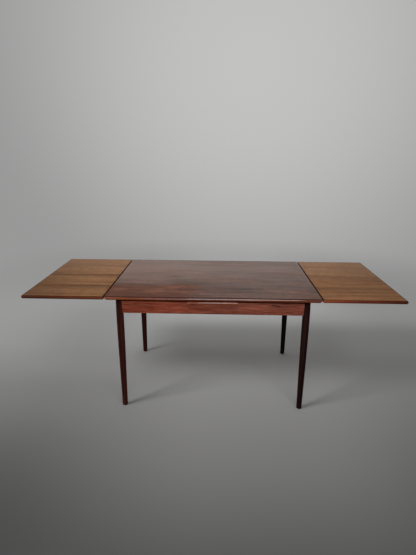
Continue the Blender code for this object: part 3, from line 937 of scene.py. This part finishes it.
def turned_leg_tree():
    """A leg turned round a line: it swells from the foot to the belly, draws in to the top, and has the
    housings for the rails cut out of it, which come in as the tree's geometry."""
    others = {"Place": "Vector", "Sides": "Int", "Rings": "Int", "Wood": "Material"}
    tree, net, given = piece_tree("turned_leg", (*LEG_PROFILE, "Bottom", "Top"), others)
    bottom, top, belly = given["Bottom"], given["Top"], given["Belly Height"]
    foot_radius, belly_radius, top_radius = (given[f"{part} Radius"] for part in ("Foot", "Belly", "Top"))
    rod = net.node("GeometryNodeCurvePrimitiveLine", {"Start": (0, 0, 0), "End": (0, 0, 1)})
    rod = net.node("GeometryNodeResampleCurve", {"Curve": rod, "Count": given["Rings"]})
    step = point_height(net)
    height = bottom + (top - bottom) * (step * step * (3.0 - 2.0 * step))
    spot = net.place(0.0, 0.0, height)
    rod = net.node("GeometryNodeSetPosition", {"Geometry": rod, "Position": spot})
    level = point_height(net)
    low = (level - bottom) / (belly - bottom)
    swell = net.between(low * (1.0 + low * (1.0 - low)), foot_radius, belly_radius)
    high = (level - belly) / (top - belly)
    draw = net.between(high * high, belly_radius, top_radius)
    below = net.math("LESS_THAN", level, belly)
    left_over = 1.0 - net.math("MINIMUM", (level - bottom) / given["Foot Round"], 1.0)
    inset = 1.0 - net.math("SQRT", net.math("MAXIMUM", 1.0 - left_over * left_over, 0.0))
    radius = below * swell + (1.0 - below) * draw - inset * given["Foot Round"]
    ring = {"Resolution": given["Sides"], "Radius": 1.0}
    circle = net.node("GeometryNodeCurvePrimitiveCircle", ring)
    sweep = {"Curve": rod, "Profile Curve": circle, "Scale": radius, "Fill Caps": True}
    leg = net.node("GeometryNodeCurveToMesh", sweep)
    leg = net.node("GeometryNodeTransform", {"Geometry": leg, "Translation": given["Place"]})
    close_tree(net, carved(net, leg, given["Geometry"]), given["Wood"])
    return tree


def slotted_screw_tree():
    """A slotted countersunk screw head on each point, turned by chance round the point's axis."""
    others = {"Seed": "Int", "Metal": "Material"}
    tree, net, given = piece_tree("slotted_screws", SCREW_SIZES, others)
    radius, height = given["Head Radius"], given["Head Height"]
    cone = {"Vertices": SCREW_SIDES, "Radius Top": radius, "Radius Bottom": given["Shank Radius"]}
    head = net.node("GeometryNodeMeshCone", {**cone, "Depth": height})
    sunk = net.place(0.0, 0.0, height * -1.0)
    head = net.node("GeometryNodeTransform", {"Geometry": head, "Translation": sunk})
    bar = net.place(radius * 3.0, given["Slot Width"], given["Slot Depth"] * 2.0)
    head = carved(net, head, net.node("GeometryNodeMeshCube", {"Size": bar}))
    axis = net.node("GeometryNodeInputNamedAttribute", {"Name": "axis"}, data_type="FLOAT_VECTOR")
    aimed = net.node("FunctionNodeAlignRotationToVector", {"Vector": axis}, axis="Z")
    chance = {2: 0.0, 3: math.pi, "Seed": given["Seed"]}
    turn = net.node("FunctionNodeRandomValue", chance, data_type="FLOAT").out(1)
    spin = net.node("FunctionNodeAxisAngleToRotation", {"Axis": (0, 0, 1), "Angle": turn})
    spun = net.node("FunctionNodeRotateRotation", {0: aimed, 1: spin}, rotation_space="LOCAL")
    placed = {"Points": given["Geometry"], "Instance": head, "Rotation": spun}
    close_tree(net, net.node("GeometryNodeInstanceOnPoints", placed), given["Metal"])
    return tree


def nose_section(thickness):
    """A round-nosed section as (depth in from the outside, height), round its nose from the top."""
    section = [(LIPPING_WIDTH, thickness)]
    for step in range(NOSE_STEPS + 1):
        turn = math.pi * step / NOSE_STEPS
        section.append((NOSE_DEPTH * (1 - math.sin(turn)), thickness / 2 * (1 + math.cos(turn))))
    section.append((LIPPING_WIDTH, 0.0))
    return section


def square_section(thickness, knee):
    """A square section as (depth, height), undercut at 45 degrees below the knee."""
    section = [(LIPPING_WIDTH, thickness), (0.0, thickness), (0.0, knee)]
    if knee:
        section.append((knee, 0.0))
    return [*section, (LIPPING_WIDTH, 0.0)]


def mitred_rings(section, half_length):
    """Rings of points towards a mitre that follows a rounded corner."""
    rings = []
    for step in range(CORNER_STEPS + 1):
        turn = math.pi / 4 * step / CORNER_STEPS
        ring = []
        for depth, height in section:
            radius = max(CORNER_RADIUS - depth, 0.0)
            centre = max(CORNER_RADIUS, depth)
            gap = MITRE_GAP if step == CORNER_STEPS or radius == 0.0 else 0.0
            x = half_length - centre + radius * math.sin(turn) - gap
            ring.append((x, centre - radius * math.cos(turn), height))
        rings.append(ring)
    return rings


def trimmed(bm, place, out):
    """Cuts off what lies beyond a plane and closes the cut."""
    geometry = [*bm.verts, *bm.edges, *bm.faces]
    bmesh.ops.bisect_plane(bm, geom=geometry, plane_co=place, plane_no=out, clear_outer=True)
    bmesh.ops.holes_fill(bm, edges=[edge for edge in bm.edges if edge.is_boundary], sides=0)


def lipping(section, length, ends, knee=0.0):
    """A lipping along X with its outside to -Y. Each end is a "mitre", a "butt" joint or "shown", which is
    undercut below the knee. The arrises that show are rounded."""
    bm = bmesh.new()
    rings = []
    for sign, end in zip((-1, 1), ends):
        made = [[(length / 2, depth, height) for depth, height in section]]
        if end == "mitre":
            made = mitred_rings(section, length / 2)
        for ring in made if sign > 0 else reversed(made):
            rings.append([bm.verts.new((sign * x, y, z)) for x, y, z in ring])
    skin(bm, rings)
    bmesh.ops.remove_doubles(bm, verts=bm.verts, dist=MERGE)
    bmesh.ops.dissolve_degenerate(bm, edges=bm.edges, dist=MERGE)
    bmesh.ops.recalc_face_normals(bm, faces=bm.faces)
    shown = [sign for sign, end in zip((-1, 1), ends) if end == "shown"]
    if knee:
        for sign in shown:
            trimmed(bm, (sign * length / 2, 0.0, knee), Vector((sign, 0.0, -1.0)).normalized())
    arrises = []
    for edge in bm.edges:
        first, second = (vert.co for vert in edge.verts)
        at_end = any(sign * co.x > length / 2 - knee - MERGE for sign in shown for co in (first, second))
        lengthwise = abs(first.x - second.x) >= length / 2
        outside = (first.y + second.y) / 2 < LIPPING_WIDTH - MERGE
        if edge.calc_face_angle() > SHARP_ANGLE and outside and (lengthwise or at_end):
            arrises.append(edge)
    bmesh.ops.bevel(
        bm, geom=arrises, offset=LIPPING_ARRIS, segments=ARRIS_STEPS, profile=0.5, affect="EDGES"
    )
    return bm


def add_lipping(node, shape, angle, place, wood, body):
    turn = Matrix.Translation(place) @ Matrix.Rotation(math.radians(angle), 4, "Z")
    mesh = smooth(mesh_from(moved(shape, turn), node))
    add_piece(node, mesh, wood, body)


def make_board(name, panel_wood, slot, edges, end_face=None):
    """A veneered panel in its lippings. Each side's lipping is (ends, wood): square where it is butted, and
    round-nosed elsewhere. Below an end face the board's ends are undercut."""
    low = Vector(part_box(f"{name}_front_lipping")[0])
    high = Vector(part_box(f"{name}_back_lipping")[1])
    low.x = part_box(f"{name}_left_lipping")[0].x
    high.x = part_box(f"{name}_right_lipping")[1].x
    middle = (low + high) / 2
    length, depth, thickness = high - low
    knee = thickness - end_face if end_face else 0.0
    inset = Vector((PANEL_INSET, PANEL_INSET, 0.0))
    add_board(f"{name}_panel", low + inset, high - inset, PANEL_ROUND, panel_wood, name, slot)
    lines = {
        "front": (0, middle.x, low.y, length),
        "back": (180, middle.x, high.y, length),
        "left": (-90, low.x, middle.y, depth),
        "right": (90, high.x, middle.y, depth),
    }
    for side, (ends, wood) in edges.items():
        angle, x, y, run = lines[side]
        if ends == BUTT:
            shape = lipping(square_section(thickness, knee), run - 2 * PANEL_INSET, ends)
        else:
            shape = lipping(nose_section(thickness), run, ends, knee)
        add_lipping(f"{name}_{side}_lipping", shape, angle, (x, y, low.z), wood, name)


def make_top(woods):
    """The top: round-nosed front and back, and undercut ends between them."""
    long_edge, end_edge = (SHOWN, woods["top_edge"]), (BUTT, woods["top_end_edge"])
    edges = {"front": long_edge, "back": long_edge, "left": end_edge, "right": end_edge}
    make_board("top", woods["top"], "rosewood_veneer", edges, TOP_END_FACE)


def make_leaf(side, sign, woods):
    """A leaf: round-nosed on three sides with rounded outer corners, and a square inner edge."""
    ends = ("shown", "mitre") if sign > 0 else ("mitre", "shown")
    inner = "left" if sign > 0 else "right"
    edges = {
        "front": (ends, woods["leaf_edge"]),
        "back": (ends[::-1], woods["leaf_edge"]),
        side: (MITRED, woods["leaf_end_edge"]),
        inner: (BUTT, woods["leaf_inner_edge"]),
    }
    make_board(f"{side}_leaf", woods["leaf"], "leaf_veneer", edges)


def make_centre_board(woods):
    """The fixed board across the middle, its two noses and the felt strips that the top lies on."""
    add_eased("centre_board", BOARD_ROUND, woods["top"], "frame")
    for end, angle in (("front", 0), ("back", 180)):
        name = f"centre_board_{end}_nose"
        low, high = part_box(name)
        place = ((low.x + high.x) / 2, low.y if end == "front" else high.y, low.z)
        shape = lipping(nose_section(high.z - low.z), high.x - low.x, SHOWN)
        add_lipping(name, shape, angle, place, woods["strip_edge"], "frame")
    for side, _ in SIDES:
        strip = f"{side}_felt_strip"
        add_board(strip, *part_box(strip), FELT_ROUND, woods["felt"], "frame", "felt")


def make_rails(woods):
    """Aprons, end rails and cross rail with softly rounded arrises."""
    for end, _ in ENDS:
        apron = f"{end}_apron"
        add_board(apron, *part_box(apron), APRON_ROUND, woods[apron], "frame", "rosewood_apron")
    for side, _ in SIDES:
        add_eased(f"{side}_end_rail", PLAIN_ROUND, woods["end_rail"], "frame")
    add_eased("cross_rail", CROSS_RAIL_ROUND, woods["beech_across"], "frame")


def inward(side_sign, end_sign):
    """The way from a corner of the table to its middle, at 45 degrees."""
    return Vector((-side_sign, -end_sign, 0.0)).normalized()


def make_leg(name, tree, wood):
    """A turned leg with housings for the apron and the end rail."""
    low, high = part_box(f"{name}_leg")
    axis = (low + high) / 2
    end, side = name.split("_")
    cuts = bmesh.new()
    fit = Vector((HOUSING_FIT, HOUSING_FIT, HOUSING_FIT))
    for rail in (f"{end}_apron", f"{side}_end_rail"):
        rail_low, rail_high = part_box(rail)
        block(rail_low - fit, rail_high + fit, cuts)
    values = {**LEG_PROFILE, "Bottom": low.z, "Top": high.z, "Place": (axis.x, axis.y, 0.0)}
    values |= {"Sides": LEG_SIDES, "Rings": LEG_RINGS, "Wood": wood}
    mesh = grown(tree, mesh_from(cuts, f"{name}_housings"), values, f"{name}_leg")
    add_piece(f"{name}_leg", smooth(mesh), wood, "frame")


def make_glide(name, wood):
    """A glide under a leg, with a rounded lower rim."""
    low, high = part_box(f"{name}_glide")
    height = high.z - low.z
    add_turned(f"{name}_glide", height, (height / 2, height / 2), wood, "frame")


def threaded(radius, length):
    """A stud along Z from 0, with a rolled thread and chamfered ends."""
    rows = int(length / THREAD_PITCH * THREAD_ROWS)
    bm = bmesh.new()
    rings = []
    for row in range(rows + 1):
        z = length * row / rows
        end = min(z, length - z) / THREAD_PITCH
        ring = []
        for side in range(THREAD_SIDES):
            turn = side / THREAD_SIDES
            wave = abs(((z / THREAD_PITCH - turn) % 1.0) * 2 - 1)
            reach = radius - THREAD_DEPTH * wave - max(0.0, 1.0 - end) * THREAD_DEPTH
            angle = 2 * math.pi * turn
            ring.append(bm.verts.new((reach * math.cos(angle), reach * math.sin(angle), z)))
        rings.append(ring)
    skin(bm, rings)
    bmesh.ops.recalc_face_normals(bm, faces=bm.faces)
    return bm


def make_bolt_and_nut(name, way, metal):
    """The threaded stud that pulls a leg home along its way inward, and its nut with eased arrises."""
    bolt = f"{name}_bolt"
    low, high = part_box(bolt)
    leg_low, leg_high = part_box(f"{name}_leg")
    start = (leg_low + leg_high) / 2
    start.z = (low.z + high.z) / 2
    along = [(vert.co - start).dot(way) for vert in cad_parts[bolt].data.vertices]
    stud = threaded((high.z - low.z) / 2, max(along) - min(along))
    turn = UP.rotation_difference(way).to_matrix().to_4x4()
    shape = moved(stud, Matrix.Translation(start + way * min(along)) @ turn)
    add_piece(bolt, mesh_from(shape, bolt), metal, "frame")
    add_eased(f"{name}_nut", NUT_ROUND, metal, "frame")


def make_corners(woods):
    """Each corner's leg, glide, bolt with its nut, and block."""
    tree = turned_leg_tree()
    for end, end_sign in ENDS:
        for side, side_sign in SIDES:
            name = f"{end}_{side}"
            make_leg(name, tree, woods["leg"])
            make_glide(name, woods["glide"])
            make_bolt_and_nut(name, inward(side_sign, end_sign), woods["zinc"])
            add_eased(f"{name}_corner_block", PLAIN_ROUND, woods["beech_upright"], "frame")


def make_pegs(woods):
    """The two pegs under the top, with rounded points."""
    panel_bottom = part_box("top_panel")[0].z
    for side, _ in SIDES:
        peg = f"{side}_guide_peg"
        length = panel_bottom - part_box(peg)[0].z - PEG_SEAT_GAP
        add_turned(peg, length, PEG_POINT, woods["beech_upright"], "top")


def runner_screw_places(body, sign, runner):
    """Where a runner's screws go up into its leaf: points on its sloping lower edge."""
    runner_low, runner_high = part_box(runner)
    leaf_low, leaf_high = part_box(f"{body}_panel")
    outer = runner_high.x if sign > 0 else -runner_low.x
    seat = leaf_low.x if sign > 0 else -leaf_high.x
    middle = (runner_low.y + runner_high.y) / 2
    points = [vert.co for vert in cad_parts[runner].data.vertices]
    lowest = min(points, key=lambda co: co.z)
    places = []
    for share in RUNNER_SCREW_SHARES:
        x = seat + (outer - seat) * share
        z = lowest.z + RUNNER_SLOPE * (x - abs(lowest.x))
        places.append(Vector((sign * x, middle, z)))
    return places


def make_runners(woods):
    """Tapered runners with counterbored screw holes, and their stops. Gives each leaf's screws as (place,
    way that the head looks)."""
    screws = {}
    for side, sign in SIDES:
        body = f"{side}_leaf"
        screws[body] = []
        for end, _ in ENDS:
            runner = f"{body}_{end}_runner"
            places = runner_screw_places(body, sign, runner)
            mesh = counterbored(ease(cad_shape(runner), PLAIN_ROUND), places, runner)
            add_piece(runner, mesh, woods["beech_along"], body)
            screws[body] += [(place + UP * (COUNTERBORE_DEPTH - SCREW_PROUD), -UP) for place in places]
            add_eased(f"{body}_{end}_stop", PLAIN_ROUND, woods["beech_upright"], body)
    return screws


def block_screws():
    """Two screws through each corner block, one into each rail, as (place, way that the head looks)."""
    screws = []
    for end, end_sign in ENDS:
        for side, side_sign in SIDES:
            low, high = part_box(f"{end}_{side}_corner_block")
            face = inward(side_sign, end_sign)
            half_face = inward(-side_sign, end_sign) * (high.x - low.x) / math.sqrt(2)
            for lift, share in BLOCK_SCREWS:
                place = (low + high) / 2 + half_face * share + UP * lift
                screws.append((place + face * SCREW_PROUD, face))
    return screws


def make_screws(body, screws, tree, metal):
    """All the screws of one body as one mesh."""
    name = f"{body}_screws"
    bm = bmesh.new()
    axis = bm.verts.layers.float_vector.new("axis")
    for place, out in screws:
        bm.verts.new(place)[axis] = out
    values = {**SCREW_SIZES, "Seed": SCREW_SEEDS[body], "Metal": metal}
    made = add_object(name, grown(tree, mesh_from(bm, f"{name}_points"), values, name))
    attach(made, body)


def make_camera():
    """The photograph's camera."""
    data = bpy.data.cameras.new("camera")
    data.sensor_width = SENSOR
    data.lens = FOCAL_PIXELS * SENSOR / IMAGE_HEIGHT
    camera = add_object("camera", data)
    turn = Matrix.Rotation(-CAMERA_YAW, 4, "Z") @ Matrix.Rotation(math.pi / 2 - CAMERA_PITCH, 4, "X")
    camera.matrix_world = Matrix.Translation(CAMERA_PLACE) @ turn @ Matrix.Rotation(CAMERA_ROLL, 4, "Z")
    bpy.context.scene.camera = camera


def make_floor():
    """A pale floor that fades into the backdrop, painted darker towards the front and the sides and paler
    towards the back: painted light and shade.
    """
    net = finish("floor")
    along, across, _ = grain_axes(net, "XYZ")
    away = net.math("SQRT", along * along + across * across)
    aside = net.math("ABSOLUTE", along - FLOOR_MIDDLE)
    dim = net.rise(aside, *FLOOR_SIDES) * net.rise(across, *FLOOR_SIDE_FRONT, *FLOOR_SIDE_DIM)
    colour = net.tones((across - FLOOR_FRONT) / FLOOR_REACH, FLOOR_TONES)
    colour = net.blend(dim, colour, FLOOR_SHADE)
    shade = net.node("ShaderNodeBsdfPrincipled", {"Base Color": colour, **FLOOR_FINISH})
    clear = net.node("ShaderNodeBsdfTransparent")
    mixed = net.node("ShaderNodeMixShader", {0: net.rise(away, *FLOOR_FADE), 1: shade, 2: clear})
    net.node("ShaderNodeOutputMaterial", {"Surface": mixed})
    bm = bmesh.new()
    bmesh.ops.create_circle(bm, cap_ends=True, segments=FLOOR_SEGMENTS, radius=FLOOR_RADIUS)
    floor = add_object("floor", mesh_from(bm, "floor"))
    floor.data.materials.append(net.owner)


def make_lamp(name, place, aim, size, power, spread=180.0):
    data = bpy.data.lights.new(name, "AREA")
    data.shape = "RECTANGLE"
    data.size, data.size_y = size
    data.energy = power
    data.spread = math.radians(spread)
    lamp = add_object(name, data)
    way = Vector(aim) - Vector(place)
    lamp.matrix_world = Matrix.Translation(place) @ way.to_track_quat("-Z", "Y").to_matrix().to_4x4()


def make_lights():
    """A far key lamp from the front left, soft boxes over the back and above the camera, a low fill in
    front, a card on the floor that lifts the shadows, and a room that is brighter at the backdrop."""
    for name, lamp in LAMPS.items():
        make_lamp(name, *lamp)
    world = bpy.data.worlds.new("room")
    world.use_nodes = True
    bpy.context.scene.world = world
    net = Net(world.node_tree)
    look = {0: net.node("ShaderNodeTexCoord").out("Generated"), 1: BACKDROP_WAY}
    towards = net.node("ShaderNodeVectorMath", look, operation="DOT_PRODUCT").out("Value")
    tone = net.blend(net.rise(towards, *BACKDROP_SPAN), ROOM_TONE, BACKDROP_TONE)
    backdrop = net.node("ShaderNodeBackground", {"Color": tone, "Strength": 1.0})
    net.node("ShaderNodeOutputWorld", {"Surface": backdrop})


woods = make_woods()
make_top(woods)
for side, sign in SIDES:
    make_leaf(side, sign, woods)
make_centre_board(woods)
make_rails(woods)
make_corners(woods)
make_pegs(woods)
screws = make_runners(woods)
screws["frame"] = block_screws()
screw_tree = slotted_screw_tree()
for body, places in screws.items():
    make_screws(body, places, screw_tree, woods["zinc"])
make_camera()
make_floor()
make_lights()
bpy.context.scene.view_settings.view_transform = "Standard"
